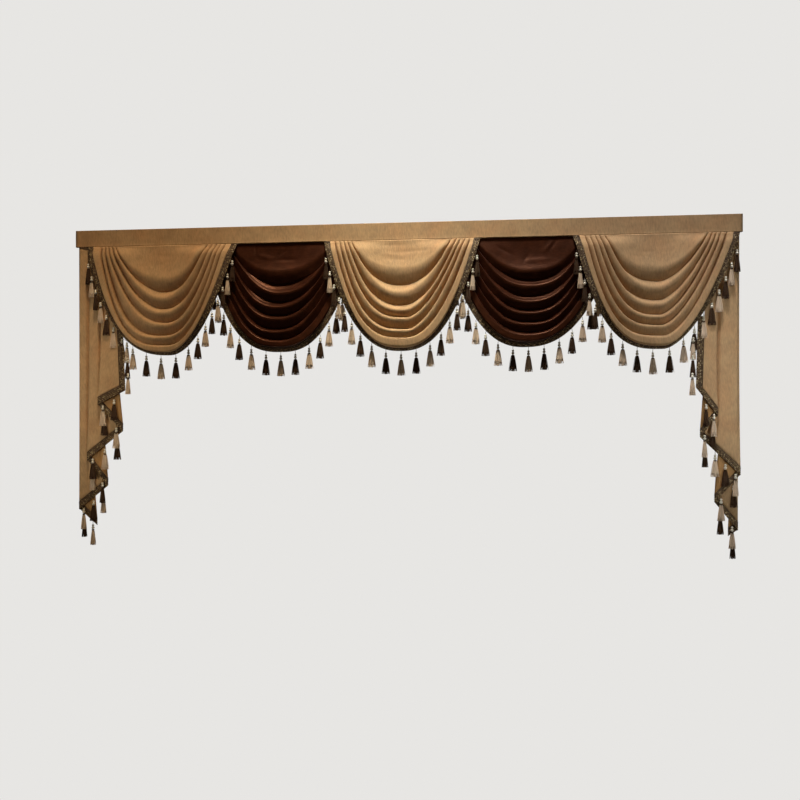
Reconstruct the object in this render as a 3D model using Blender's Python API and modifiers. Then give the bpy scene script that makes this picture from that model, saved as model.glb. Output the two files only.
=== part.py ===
"""Swag and tail drape: a heading band with five swags, two tails and a tasselled braid on every hem.

Metres, +Z up. The origin is the middle of the band's top edge, on its back face: +X runs along the
band, -Y points into the room and every cloth hangs below the band.
"""
import math
from collections import namedtuple

import bpy
import numpy as np

# ---- driving dimensions -------------------------------------------------------------------------
WIDTH = 3.000              # band, end to end
BAND_HEIGHT = 0.077
BAND_DEPTH = 0.014         # stiffener, folded cloth and the seam that holds every top edge
BAND_ROUNDING = 0.0008
SEAM_GAP = 0.0008          # each cloth's top edge lies this far under the band
SWAG_CLOTH = 0.0016        # thickness of the swags' cloth
TAIL_CLOTH = 0.0011        # the tails are one unlined layer

BRAID_WIDTH = 0.026
BRAID_THICKNESS = 0.0024
BRAID_GAP = 0.0009         # between a hem and its braid
BRAID_END_DROP = 0.0003    # a braid's ends stay clear of the band
ROOT_LENGTH = 0.006        # stretch of braid that one tassel grows from

CORD_LENGTH = 0.024        # tassel: thin cord, a bead, a neck, then a flared skirt
CORD_SIZE = 0.0030
BEAD_SIZE = 0.008
NECK_SIZE = 0.006
NECK_LEVEL = 0.042         # below the root
TASSEL_LENGTH = 0.110
SKIRT_WIDEST = 0.034
SKIRT_NARROWEST = 0.016
SKIRT_DEPTH = 0.008
SKIRT_SHARE = 0.95         # a skirt fills this share of the room to its neighbour
SKIRT_CLEARANCE = 0.015    # less this clearance
CORD_STAND_OFF = 0.003     # the cord leaves the braid outwards by this much
CORD_BEND = 0.006          # and hangs plumb from this far down

SWAG_COLUMNS = 20          # steps along a fold; a tassel hangs at each inner one
TOP_INSET = 0.012          # the flat top starts this far inside the first fold
UNDERSIDE = (0.50, 0.42)   # halfway down a fold's underside it lies this deep, as a share of the tuck
SIDE_TILT = 8.0            # degrees: how far the hem and its braid roll back under at the sides
MIDDLE_TILT = 46.0         # and at the middle
TILT_SHARPNESS = 3         # how closely that stays to the middle
CURVE_SAMPLES = 240

BACK_WAY = np.array((0.0, 1.0, 0.0))   # towards the wall
ROLL_ROUNDING = 0.2        # the hem's roll is this much rounder than a straight slope

Finish = namedtuple("Finish", "color roughness")
BEIGE = Finish((0.335, 0.215, 0.115, 1.0), 0.85)
CHOCOLATE = Finish((0.060, 0.018, 0.010, 1.0), 0.45)
OLIVE_BROWN = Finish((0.050, 0.034, 0.016, 1.0), 0.70)

# ---- tables ---------------------------------------------------------------------------------------
# A fold hangs between two points of the band. left, right and low are measured from the swag's own
# centre line, drop from the band's lower edge. full is 2 for a parabola and more for a rounder side.
# reach is how far the crest stands into the room at the middle, tuck how deep the valley below it is.
Fold = namedtuple("Fold", "left right low drop full_left full_right reach tuck")

# A layer says how the cloth stands at its sides, where the folds are gathered together. Between two
# crests the cloth rolls under to the valley and comes forward again on a ledge: ledges gives each one's
# share of the way from crest to crest.
Layer = namedtuple("Layer", "seam seam_tuck side side_tuck lean rise bulge ledges")
FRONT = Layer(seam=0.0129, seam_tuck=0.0024, side=0.038, side_tuck=0.007, lean=0.060,
              rise=0.028, bulge=1.4, ledges=(0.24, 0.20, 0.16, 0.12, 0.16))
BACK = Layer(seam=0.0054, seam_tuck=0.0024, side=0.012, side_tuck=0.004, lean=0.015,
             rise=0.040, bulge=3.0, ledges=(0.50, 0.32, 0.16, 0.12, 0.16))

Swag = namedtuple("Swag", "name centre layer finish folds")
SWAGS = (
    Swag("swag_left", -1.085, FRONT, BEIGE, (
        Fold(-0.214, 0.201, 0.030, 0.154, 2.36, 2.21, 0.038, 0.020),
        Fold(-0.227, 0.222, 0.010, 0.248, 1.75, 2.15, 0.048, 0.022),
        Fold(-0.245, 0.243, 0.018, 0.316, 2.00, 2.35, 0.055, 0.021),
        Fold(-0.261, 0.265, 0.030, 0.373, 2.35, 2.25, 0.060, 0.020),
        Fold(-0.276, 0.283, 0.018, 0.431, 3.10, 2.50, 0.064, 0.019),
        Fold(-0.296, 0.306, 0.042, 0.474, 3.34, 2.18, 0.067, 0.016),
        Fold(-0.331, 0.332, 0.046, 0.489, 2.85, 1.95, 0.067, 0.016))),
    Swag("swag_middle", 0.026, FRONT, BEIGE, (
        Fold(-0.217, 0.207, 0.005, 0.129, 2.90, 2.40, 0.038, 0.020),
        Fold(-0.230, 0.228, 0.000, 0.241, 2.20, 2.05, 0.048, 0.022),
        Fold(-0.247, 0.250, 0.016, 0.320, 2.70, 1.85, 0.055, 0.021),
        Fold(-0.264, 0.269, 0.026, 0.360, 3.05, 1.75, 0.060, 0.020),
        Fold(-0.284, 0.288, 0.030, 0.414, 3.35, 1.75, 0.064, 0.019),
        Fold(-0.306, 0.312, 0.022, 0.450, 3.20, 2.10, 0.067, 0.016),
        Fold(-0.325, 0.326, 0.000, 0.478, 2.60, 2.50, 0.067, 0.016))),
    Swag("swag_right", 1.136, FRONT, BEIGE, (
        Fold(-0.205, 0.208, 0.012, 0.147, 3.20, 1.80, 0.038, 0.020),
        Fold(-0.221, 0.224, 0.003, 0.237, 2.75, 1.65, 0.048, 0.022),
        Fold(-0.244, 0.243, 0.006, 0.312, 2.95, 1.60, 0.055, 0.021),
        Fold(-0.262, 0.259, 0.010, 0.367, 3.10, 1.58, 0.060, 0.020),
        Fold(-0.284, 0.277, 0.019, 0.408, 3.50, 1.58, 0.064, 0.019),
        Fold(-0.306, 0.304, 0.026, 0.457, 3.60, 1.60, 0.067, 0.016),
        Fold(-0.328, 0.327, 0.028, 0.481, 3.25, 1.62, 0.067, 0.016))),
    Swag("dark_swag_left", -0.525, BACK, CHOCOLATE, (
        Fold(-0.237, 0.243, -0.012, 0.132, 2.20, 2.20, 0.026, 0.016),
        Fold(-0.250, 0.254, -0.012, 0.229, 1.90, 2.50, 0.032, 0.017),
        Fold(-0.264, 0.268, -0.004, 0.293, 2.45, 2.20, 0.036, 0.016),
        Fold(-0.280, 0.283, -0.008, 0.346, 2.55, 2.30, 0.039, 0.016),
        Fold(-0.300, 0.301, -0.012, 0.407, 2.60, 2.35, 0.042, 0.015),
        Fold(-0.322, 0.322, 0.000, 0.453, 2.65, 2.30, 0.044, 0.012),
        Fold(-0.338, 0.338, -0.002, 0.478, 2.75, 2.55, 0.044, 0.012))),
    Swag("dark_swag_right", 0.598, BACK, CHOCOLATE, (
        Fold(-0.247, 0.229, -0.022, 0.148, 1.85, 2.90, 0.026, 0.016),
        Fold(-0.260, 0.250, -0.010, 0.216, 2.15, 2.70, 0.032, 0.017),
        Fold(-0.282, 0.270, -0.006, 0.286, 2.20, 2.50, 0.036, 0.016),
        Fold(-0.298, 0.288, -0.006, 0.337, 2.40, 2.50, 0.039, 0.016),
        Fold(-0.316, 0.308, 0.004, 0.387, 2.65, 2.40, 0.042, 0.015),
        Fold(-0.336, 0.333, -0.010, 0.434, 2.50, 2.45, 0.044, 0.012),
        Fold(-0.362, 0.360, -0.020, 0.466, 2.45, 2.45, 0.044, 0.012))),
)

# A tail is one cloth pleated to and fro. Each row is an edge or a turn of the zigzag: its distance from
# the middle of the band at the top and at the hem, its length, and how far the cloth stands into the
# room where it comes to the turn and where it leaves it, at the top and at the hem.
Turn = namedtuple("Turn", "x_top x_hem drop come_top leave_top come_hem leave_hem")
Tail = namedtuple("Tail", "name side turns")
TAILS = (
    Tail("tail_left", -1, (
        Turn(1.315, 1.267, 0.650, 0.0076, 0.0076, 0.052, 0.052),
        Turn(1.377, 1.373, 0.703, 0.0076, 0.0047, 0.054, 0.044),
        Turn(1.350, 1.259, 0.822, 0.0047, 0.0018, 0.043, 0.034),
        Turn(1.437, 1.434, 0.958, 0.0076, 0.0047, 0.036, 0.026),
        Turn(1.412, 1.340, 1.075, 0.0047, 0.0018, 0.025, 0.016),
        Turn(1.487, 1.482, 1.188, 0.0076, 0.0047, 0.018, 0.008),
        Turn(1.466, 1.398, 1.262, 0.0047, 0.0047, 0.007, 0.007))),
    Tail("tail_right", 1, (
        Turn(1.350, 1.318, 0.672, 0.0076, 0.0076, 0.053, 0.053),
        Turn(1.405, 1.382, 0.758, 0.0076, 0.0047, 0.054, 0.044),
        Turn(1.382, 1.314, 0.848, 0.0047, 0.0018, 0.043, 0.034),
        Turn(1.487, 1.482, 1.012, 0.0080, 0.0060, 0.036, 0.026),
        Turn(1.465, 1.380, 1.128, 0.0060, 0.0040, 0.025, 0.016),
        Turn(1.487, 1.478, 1.250, 0.0040, 0.0020, 0.018, 0.008),
        Turn(1.470, 1.440, 1.276, 0.0020, 0.0020, 0.007, 0.007))),
)
TAIL_ROWS = 8
TAIL_FLARE = 3.4           # how late, on the way down, the pleats come forward
EVEN_FLARE = 0.3           # this share of it comes evenly instead
FACE_START = 0.2           # at the top a face keeps back for this share of its width at either end
TASSEL_PITCH = 0.066       # along a tail's hem
TAIL_ROOM = 1 / 3          # share of the way between the columns beside it that a tassel has for room
TAIL_BRAID_DEPTH = 1.3     # a slanting hem's braid is this much deeper, measured upright, than wide
EDGE_BRAID_START = 0.365   # the braid on a tail's inner edge starts this far below the band
EDGE_TASSELS = 3
EDGE_TASSEL_ROOM = 0.020
EDGE_TASSEL_OUT = 0.014    # on the upright edge the tassels stand clear of the braid
EDGE_TASSEL_STEP = 0.001   # and each hangs a little in front of the one above it


# ---- scene helpers ----------------------------------------------------------------------------------
def clear_scene():
    """Start from an empty file."""
    for item in list(bpy.data.objects):
        bpy.data.objects.remove(item, do_unlink=True)


def new_collection(name):
    """A collection for the finished pieces."""
    collection = bpy.data.collections.new(name)
    bpy.context.scene.collection.children.link(collection)
    return collection


def textile(name, finish):
    """One Principled material for one piece."""
    material = bpy.data.materials.new(name)
    material.use_nodes = True
    shader = material.node_tree.nodes["Principled BSDF"]
    shader.inputs["Base Color"].default_value = finish.color
    shader.inputs["Roughness"].default_value = finish.roughness
    shader.inputs["Metallic"].default_value = 0.0
    return material


def mesh_object(name, points, faces, finish, collection):
    """An object from points and faces, shaded smooth."""
    mesh = bpy.data.meshes.new(name)
    mesh.from_pydata([tuple(point) for point in points], [], faces)
    mesh.validate()
    mesh.shade_smooth()
    mesh.materials.append(textile(name + "_finish", finish))
    item = bpy.data.objects.new(name, mesh)
    collection.objects.link(item)
    return item


def unit(vectors):
    """Vectors scaled to length one."""
    return vectors / np.linalg.norm(vectors, axis=-1, keepdims=True)


# ---- heading band -----------------------------------------------------------------------------------
def build_band(collection):
    """The flat, stiffened band that the cloths are sewn under."""
    place = (0.0, -BAND_DEPTH / 2, -BAND_HEIGHT / 2)
    bpy.ops.mesh.primitive_cube_add(size=1.0, location=place)
    band = bpy.context.object
    band.name = "heading_band"
    band.scale = (WIDTH, BAND_DEPTH, BAND_HEIGHT)
    bpy.ops.object.transform_apply(location=False, rotation=False, scale=True)
    band.data.materials.append(textile("heading_band_finish", BEIGE))
    rounding = band.modifiers.new("rounding", "BEVEL")
    rounding.width = BAND_ROUNDING
    rounding.segments = 1
    for owner in list(band.users_collection):
        owner.objects.unlink(band)
    collection.objects.link(band)


# ---- swags --------------------------------------------------------------------------------------------
def fold_sections(ledges):
    """(place, valley) pairs from the top edge to the last crest.

    place counts folds and may stop between two crests, valley is 0 on a crest and 1 in a valley.
    """
    sections = [(0.0, 0.0), (0.5, 0.0), (1.0, 0.0)]
    down, depth = UNDERSIDE
    for crest, ledge in enumerate(ledges, 1):
        underside = 1 - ledge
        sections += [(crest + underside * down, depth), (crest + underside, 1.0), (crest + 1, 0.0)]
    return sections


def fold_at(swag, place):
    """The fold's columns at any place between the top edge (0) and the hem."""
    first = swag.folds[0]
    top = first._replace(left=first.left + TOP_INSET, right=first.right - TOP_INSET, drop=0.0,
                         reach=swag.layer.seam, tuck=swag.layer.seam_tuck)
    table = np.array((top,) + swag.folds)
    return Fold(*(np.interp(place, range(len(table)), column) for column in table.T))


def hanging_curve(fold, share):
    """x and z of points at equal steps along one fold's curve."""
    side = np.linspace(-1.0, 1.0, CURVE_SAMPLES + 1)
    span = np.where(side < 0, fold.low - fold.left, fold.right - fold.low)
    full = np.where(side < 0, fold.full_left, fold.full_right)
    x = fold.low + side * span
    z = -fold.drop * (1 - np.abs(side) ** full)
    length = np.concatenate(([0.0], np.cumsum(np.hypot(np.diff(x), np.diff(z)))))
    wanted = share * length[-1]
    return np.interp(wanted, length, x), np.interp(wanted, length, z)


def stance(layer, z):
    """How far each point of a row has come from the seam's crowding, and how near the middle it is."""
    clear = 1 - np.exp(-(z / layer.rise) ** 2)
    middle = np.sin(math.pi * np.linspace(0.0, 1.0, len(z))) ** layer.bulge
    return clear, middle


def swag_row(swag, place, valley):
    """One row of the swag's cloth, from its left end to its right end."""
    layer = swag.layer
    fold = fold_at(swag, place)
    x, z = hanging_curve(fold, np.linspace(0.0, 1.0, SWAG_COLUMNS + 1))
    clear, middle = stance(layer, z)
    side = layer.side - layer.lean * z
    crest = layer.seam + clear * (side * (1 - middle) + fold.reach * middle - layer.seam)
    tuck = layer.seam_tuck + clear * (layer.side_tuck * (1 - middle) + fold.tuck * middle
                                      - layer.seam_tuck)
    top = -BAND_HEIGHT - SEAM_GAP
    return np.stack((x + swag.centre, tuck * valley - crest, z + top), axis=1)


def hem_frame(swag, row):
    """Directions outwards in the plane of the band, and the backward tilt, along a hem."""
    chords = np.vstack((row[1] - row[0], row[2:] - row[:-2], row[-1] - row[-2]))
    outward = unit(np.stack((chords[:, 2], np.zeros(len(row)), -chords[:, 0]), axis=1))
    outward[0] = (-1.0, 0.0, 0.0)
    outward[-1] = (1.0, 0.0, 0.0)
    clear, middle = stance(swag.layer, row[:, 2] - row[0, 2])
    tilt = np.radians(SIDE_TILT * clear + (MIDDLE_TILT - SIDE_TILT) * middle ** TILT_SHARPNESS)
    return outward, tilt[:, None]


def swag_grid(swag):
    """All rows of the swag's cloth. Below the last crest it rolls back under to its hem."""
    rows = [swag_row(swag, *section) for section in fold_sections(swag.layer.ledges)]
    hem = swag_row(swag, len(swag.folds), 0.0)
    outward, tilt = hem_frame(swag, hem)
    width = np.sum((hem - rows[-1]) * outward, axis=1, keepdims=True)
    hem += width * np.tan(tilt) * BACK_WAY
    halfway = (rows[-1] + hem) / 2
    halfway -= width * np.tan(tilt) * BACK_WAY * ROLL_ROUNDING
    return np.array(rows + [halfway, hem])


def build_sheet(name, grid, thickness, finish, collection):
    """A cloth: the open surface through a grid of points, thickened."""
    rows, columns = grid.shape[:2]
    faces = []
    for row in range(rows - 1):
        for column in range(columns - 1):
            corner = row * columns + column
            faces.append((corner, corner + columns, corner + columns + 1, corner + 1))
    item = mesh_object(name, grid.reshape(-1, 3), faces, finish, collection)
    cloth = item.modifiers.new("cloth", "SOLIDIFY")
    cloth.thickness = thickness
    cloth.offset = 0.0
    cloth.use_even_offset = True
    cloth.use_quality_normals = True
    return item


# ---- tails --------------------------------------------------------------------------------------------
def tail_columns(tail):
    """x and stand-off at the top and at the hem, and the length, of each column, with its tassel."""
    columns = []
    for turn, after in zip(tail.turns, tail.turns[1:]):
        start = np.array((turn.x_top, turn.x_hem, turn.drop, turn.leave_top, turn.leave_hem))
        end = np.array((after.x_top, after.x_hem, after.drop, after.come_top, after.come_hem))
        length = math.hypot(after.x_hem - turn.x_hem, after.drop - turn.drop)
        count = round(length / TASSEL_PITCH)
        columns.append((start, False))
        for index in range(count):
            part = (index + 0.5) / count
            swing = min(max((part - FACE_START) / (1 - 2 * FACE_START), 0.0), 1.0)
            share = np.array((part, part, part, swing, part))
            columns.append((start + (end - start) * share, True))
        columns.append((end, False))
    return columns


def tail_grid(tail):
    """Rows of a tail's cloth, from the band down to the slanting hem."""
    x_top, x_hem, drop, out_top, out_hem = np.array([column for column, _ in tail_columns(tail)]).T
    rows = []
    for down in np.linspace(0.0, 1.0, TAIL_ROWS + 1):
        flare = EVEN_FLARE * down + (1 - EVEN_FLARE) * down ** TAIL_FLARE
        out = out_top + (out_hem - out_top) * flare
        x = tail.side * (x_top + (x_hem - x_top) * down)
        z = -BAND_HEIGHT - SEAM_GAP - drop * down
        rows.append(np.stack((x, -out, z), axis=1))
    return np.array(rows)


# ---- braid and tassels ----------------------------------------------------------------------------
# One stop of a fringe: a point of the hem, the way the braid lies from it, and for a tassel the level
# room to its neighbour and how far it is moved aside. room is None where no tassel hangs.
Stop = namedtuple("Stop", "point outward room aside")
NO_SHIFT = np.zeros(3)


class Lofted:
    """Points and faces of one closed shape, made ring by ring."""

    def __init__(self):
        self.points = []
        self.faces = []

    def ring(self, corners):
        """Add four corners and give their numbers."""
        start = len(self.points)
        self.points.extend(corners)
        return [start, start + 1, start + 2, start + 3]

    def join(self, first, second, leave_out=None):
        """Walls between two rings, but for one side."""
        for side in range(4):
            if side == leave_out:
                continue
            after = (side + 1) % 4
            near, far = (first[side], first[after]), (second[after], second[side])
            if side == 2:
                self.faces += [(near[0], near[1], far[1]), (near[1], far[0], far[1])]
            else:
                self.faces += [(near[0], near[1], far[0]), (near[0], far[0], far[1])]


def braid_ring(point, outward, normal):
    """The braid's section at a hem point: two corners on its front side, two on its back."""
    half = normal * BRAID_THICKNESS / 2
    inner = point + outward * BRAID_GAP
    outer = point + outward * (BRAID_GAP + BRAID_WIDTH)
    return [inner + half, outer + half, outer - half, inner - half]


def tassel_rings(root, stop, along):
    """The rings of one tassel below its root: cord, bead, neck and skirt."""
    turn = 1.0 if along[0] + stop.outward[0] * along[2] > 0 else -1.0
    skirt = 2 * SKIRT_SHARE * stop.room - SKIRT_CLEARANCE
    skirt = min(SKIRT_WIDEST, max(SKIRT_NARROWEST, skirt))
    start = root + stop.outward * (1, 1, 0) * CORD_STAND_OFF + stop.aside
    sections = ((CORD_BEND, CORD_SIZE, CORD_SIZE), (CORD_LENGTH, CORD_SIZE, CORD_SIZE),
                (CORD_LENGTH + BEAD_SIZE / 2, BEAD_SIZE, BEAD_SIZE),
                (NECK_LEVEL, NECK_SIZE, NECK_SIZE), (TASSEL_LENGTH, skirt, SKIRT_DEPTH))
    for level, wide, deep in sections:
        centre = start - np.array((0.0, 0.0, level))
        across = np.array((turn * wide / 2, 0.0, 0.0))
        facing = np.array((0.0, turn * deep / 2, 0.0))
        yield [centre - across + facing, centre + across + facing,
               centre + across - facing, centre - across - facing]


def build_fringe(name, stops, collection):
    """A braid along a hem with its tassels, in one piece."""
    points = np.array([stop.point for stop in stops])
    steps = unit(np.diff(points, axis=0))
    alongs = unit(np.vstack((steps[:1], steps[:-1] + steps[1:], steps[-1:])))
    shape = Lofted()
    last = None
    for stop, along in zip(stops, alongs):
        normal = unit(np.cross(along, stop.outward))
        reach = 0.0 if stop.room is None else ROOT_LENGTH / 2
        ends = (stop.point - along * reach, stop.point + along * reach)
        first = shape.ring(braid_ring(ends[0], stop.outward, normal))
        if last is None:
            shape.faces.append(tuple(first))
        else:
            shape.join(first, last)
        last = first
        if stop.room is None:
            continue
        last = shape.ring(braid_ring(ends[1], stop.outward, normal))
        shape.join(last, first, leave_out=1)
        level = [first[1], last[1], last[2], first[2]]
        root = stop.point + stop.outward * (BRAID_GAP + BRAID_WIDTH)
        for corners in tassel_rings(root, stop, along):
            lower = shape.ring(corners)
            shape.join(level, lower)
            level = lower
        shape.faces.append(tuple(level))
    shape.faces.append(tuple(reversed(last)))
    return mesh_object(name, shape.points, shape.faces, OLIVE_BROWN, collection)


def swag_stops(swag, grid):
    """Stops along a swag's hem: a tassel at every column but the two ends."""
    points = grid[-1].copy()
    outward, tilt = hem_frame(swag, points)
    outward = outward * np.cos(tilt) + BACK_WAY * np.sin(tilt)
    points[[0, -1], 2] -= BRAID_END_DROP
    stops = [Stop(points[0], outward[0], None, NO_SHIFT)]
    for index in range(1, SWAG_COLUMNS):
        room = abs(points[index + 1][0] - points[index - 1][0]) / 2
        stops.append(Stop(points[index], outward[index], room, NO_SHIFT))
    stops.append(Stop(points[-1], outward[-1], None, NO_SHIFT))
    return stops


def tail_stops(tail, grid):
    """Stops down a tail's upright inner edge, round its corner and along the slanting hem."""
    edge, hem = grid[:, 0], grid[-1]
    sideways = np.array((-tail.side, 0.0, 0.0))
    corner = hem[0]
    start = -BAND_HEIGHT - EDGE_BRAID_START
    levels = np.linspace(start, corner[2], EDGE_TASSELS + 1, endpoint=False)
    stops = []
    for order, level in enumerate(levels):
        point = np.array([np.interp(-level, -edge[:, 2], edge[:, axis]) for axis in range(3)])
        aside = sideways * EDGE_TASSEL_OUT - BACK_WAY * EDGE_TASSEL_STEP * (order - 1)
        stops.append(Stop(point, sideways, EDGE_TASSEL_ROOM if order else None, aside))
    down = np.array((0.0, 0.0, -TAIL_BRAID_DEPTH))
    slope = (hem[1][2] - corner[2]) / abs(hem[1][0] - corner[0])
    stops.append(Stop(corner, sideways + down - (0.0, 0.0, slope), None, NO_SHIFT))
    for index, (_, tassel) in enumerate(tail_columns(tail)):
        if index:
            room = abs(hem[index + 1][0] - hem[index - 1][0]) * TAIL_ROOM if tassel else None
            stops.append(Stop(hem[index], down, room, NO_SHIFT))
    return stops


def main():
    """Build every piece."""
    clear_scene()
    drape = new_collection("swag_and_tail_drape")
    build_band(drape)
    for swag in SWAGS:
        grid = swag_grid(swag)
        build_sheet(swag.name, grid, SWAG_CLOTH, swag.finish, drape)
        build_fringe("fringe_" + swag.name, swag_stops(swag, grid), drape)
    for tail in TAILS:
        grid = tail_grid(tail)
        build_sheet(tail.name, grid, TAIL_CLOTH, BEIGE, drape)
        build_fringe("fringe_" + tail.name, tail_stops(tail, grid), drape)


main()
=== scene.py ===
"""Dress the swag and tail drape: chenille and satin cloth, a plaited braid and beaded tassels.

Metres, +Z up, in the part's own frame: the origin is the middle of the heading band's top edge on its
back face, +X runs along the band and -Y points into the room.
"""
from collections import namedtuple
from math import ceil, cos, hypot, pi, radians, sin, sqrt
from types import SimpleNamespace

import bpy
import numpy as np
from mathutils import Matrix, Vector


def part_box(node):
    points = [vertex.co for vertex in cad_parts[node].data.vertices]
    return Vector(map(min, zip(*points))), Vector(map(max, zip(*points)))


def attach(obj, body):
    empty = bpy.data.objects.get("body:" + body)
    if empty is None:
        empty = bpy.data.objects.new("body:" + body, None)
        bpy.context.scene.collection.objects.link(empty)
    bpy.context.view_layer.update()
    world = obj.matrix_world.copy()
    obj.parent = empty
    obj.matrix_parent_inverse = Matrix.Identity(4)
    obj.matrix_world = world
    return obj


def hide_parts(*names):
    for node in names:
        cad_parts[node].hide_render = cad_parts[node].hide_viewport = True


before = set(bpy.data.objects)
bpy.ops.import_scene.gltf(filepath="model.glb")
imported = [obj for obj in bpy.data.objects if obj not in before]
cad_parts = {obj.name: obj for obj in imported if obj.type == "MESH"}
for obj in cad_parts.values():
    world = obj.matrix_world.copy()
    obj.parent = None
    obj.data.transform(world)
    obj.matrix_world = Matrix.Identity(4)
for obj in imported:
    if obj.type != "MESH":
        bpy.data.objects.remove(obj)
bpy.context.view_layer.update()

bl_info = {
    "name": "Swag and tail drape",
    "version": (1, 0, 0),
    "blender": (4, 5, 0),
    "location": "View3D > Sidebar > Drape",
    "description": "Makes the cloth, braid and tassels of a swag and tail drape",
    "category": "Object",
}

# ---- driving dimensions ----
BAND_LOW, BAND_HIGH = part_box("heading_band")
SEAM_GAP = 0.0008  # from the band to each cloth's top edge
TOP = BAND_LOW.z - SEAM_GAP
TO_WALL = np.array((0.0, 1.0, 0.0))

# Swags: how the cloth rolls from fold to fold
SWAG_COLUMNS = 112  # steps along a fold
CURVE_SAMPLES = 600
TOP_INSET = 0.012  # the flat top starts this far inside the first fold
SEAM_TUCK = 0.0024  # depth of the tucks at the band
PANEL_ROWS, ROLL_ROWS, CREASE_ROWS, LEDGE_ROWS, HEM_ROWS = 28, 10, 4, 9, 11
ROLL = 0.50  # at the middle a fold rounds over in this share of its underside,
ROLL_DEPTH = 0.72  # then falls to this share of the tuck before it turns in under itself
SIDE_DEPTH = 0.90  # the same at the sides,
SIDE_LIP = 2.0  # where it falls back slowly and comes forward at once,
SIDE_LEDGE = 0.13  # in this share of the way from crest to crest
GATHERING = 0.6  # the tucks are full within this share of the layer's rise
STEEP, LEVEL = 0.50, 0.92  # steeper than this a row has its side shape, more level its middle shape
UNDERCUT = 0.40  # share of the ledge that the crease reaches up behind the roll
SIDE_TILT = 8.0  # degrees that the hem and its braid roll back under at the sides,
MIDDLE_TILT = 46.0  # and the hem at the middle,
TILT_SHARPNESS = 3  # which this keeps narrow
HEM_ROUNDING = 36.0  # the cloth rolls back to its hem more and more steeply,
HEM_CROWDING = 1.8  # with its rows closer together there
UNEVEN = 0.16  # a tuck varies by about this share of its depth,
UNEVEN_WAVES = ((9.0, 0.6), (21.0, 0.4))  # in waves: radians a metre, and share,
FOLD_SHIFT, SWAG_SHIFT = 2.4, 5.0  # that start elsewhere on each fold and swag
# Painted shade: the chenille is darkened deep in the swags' folds, where shade falls
CREVICE_REACH = 14  # rows to either side that a crevice is measured from
CREVICE_DEPTH = 0.016  # as deep as this it has all of its painted shade,
CREVICE_MIDDLE = 0.70  # but for this share of it at the middle

# Tails
TAIL_ROWS = 64
TAIL_FLARE = 3.4  # how late, on the way down, the pleats come forward
EVEN_FLARE = 0.3  # this share of it comes evenly
FACE_START = 0.2  # at the top a face keeps back for this share of its width at either end
FACE_STEP = 0.004  # one column of cloth
PLEAT_LIFT = 0.016  # between its folded edges the cloth swells by this much,
PLEAT_RISE = 0.060  # once this far below the band,
PLEAT_END = 6  # until late on the way to the hem,
PLEAT_ROUNDING = 0.0065  # and rounds back to each edge in about this much

# Braid and tassels
TASSEL_STEPS = 20  # parts of a swag's hem, with a tassel between every two
BRAID_WIDTH, BRAID_GAP = 0.026, 0.0009
BRAID_END_DROP = 0.0003
TAIL_BRAID_DEPTH = 1.3  # a slanting hem's braid is this much deeper, measured upright, than wide
EDGE_TOP = TOP + SEAM_GAP - 0.365  # where the braid on a tail's inner edge starts
CORNER_COLUMNS = 4  # it turns the corner by the slope of this many columns of the hem
EDGE_TASSELS, EDGE_ROOM = 3, 0.020  # the tassels down that edge, and each one's room,
EDGE_OUT, EDGE_FORWARD = 0.014, 0.001  # way aside, and way in front of the one above
TASSEL_PITCH = 0.066  # along a tail's hem
TAIL_ROOM = 1 / 3  # share of the way between its neighbours that a tassel has
SKIRT_NARROWEST, SKIRT_WIDEST = 0.027, 0.038
SKIRT_SHARE, SKIRT_CLEARANCE = 0.95, 0.015
CORD_STAND_OFF = 0.003

# ---- tables ----
# A fold hangs between two points of the band: left, right and low are measured from the swag's centre
# line, drop from the band. full is 2 for a parabola and more for a rounder side. reach is how far its
# crest stands into the room at the middle, tuck how deep the valley below it is.
Fold = namedtuple("Fold", "left right low drop full_left full_right reach tuck")

# A soft crease: its middle, length, width and depth, below zero for a ridge, and its turn in degrees.
Crease = namedtuple("Crease", "x z length width depth turn")

# How the swags of a layer stand at their sides, where the folds are gathered, how far out and how deep
# each fold is, both in millimetres, and how the cloth comes forward again: ledges are shares of the way
# between crests.
FRONT = SimpleNamespace(
    seam=0.0129, side=0.038, side_tuck=0.007, lean=0.060, rise=0.028, bulge=1.4,
    reaches=(38, 48, 55, 60, 64, 67, 67), tucks=(20, 22, 21, 20, 19, 16, 16),
    ledges=(0.34, 0.30, 0.24, 0.22, 0.22), panel=2.0, cup=2.0, lip=1.4, side_roll=2.2,
    deeper=1.35, side_deeper=3.3, hem_drop=0.009, braid_tilt=64.0, braid_bend=1.6)
BACK = SimpleNamespace(
    seam=0.0054, side=0.012, side_tuck=0.004, lean=0.015, rise=0.040, bulge=3.0,
    reaches=(26, 32, 36, 39, 42, 44, 44), tucks=(15, 16, 16, 16, 15, 12, 12),
    ledges=(0.42, 0.38, 0.30, 0.26, 0.26), panel=2.6, cup=3.2, lip=1.0, side_roll=1.1,
    deeper=1.50, side_deeper=3.2, hem_drop=0.0, braid_tilt=46.0, braid_bend=3.0)

Swag = namedtuple("Swag", "name centre layer folds creases")


def metres(row):
    """Lengths that a row gives in millimetres."""
    return [value / 1000 for value in row]


def gathered_swag(name, centre, layer, folds, creases):
    """A swag from its rows, which its layer completes. Their lengths are in millimetres."""
    folds = [Fold(*metres(fold[:4]), *fold[4:], *metres(depths))
             for fold, *depths in zip(folds, layer.reaches, layer.tucks)]
    return Swag(name, centre, layer, folds, [Crease(*metres(row[:5]), row[5]) for row in creases])


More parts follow.
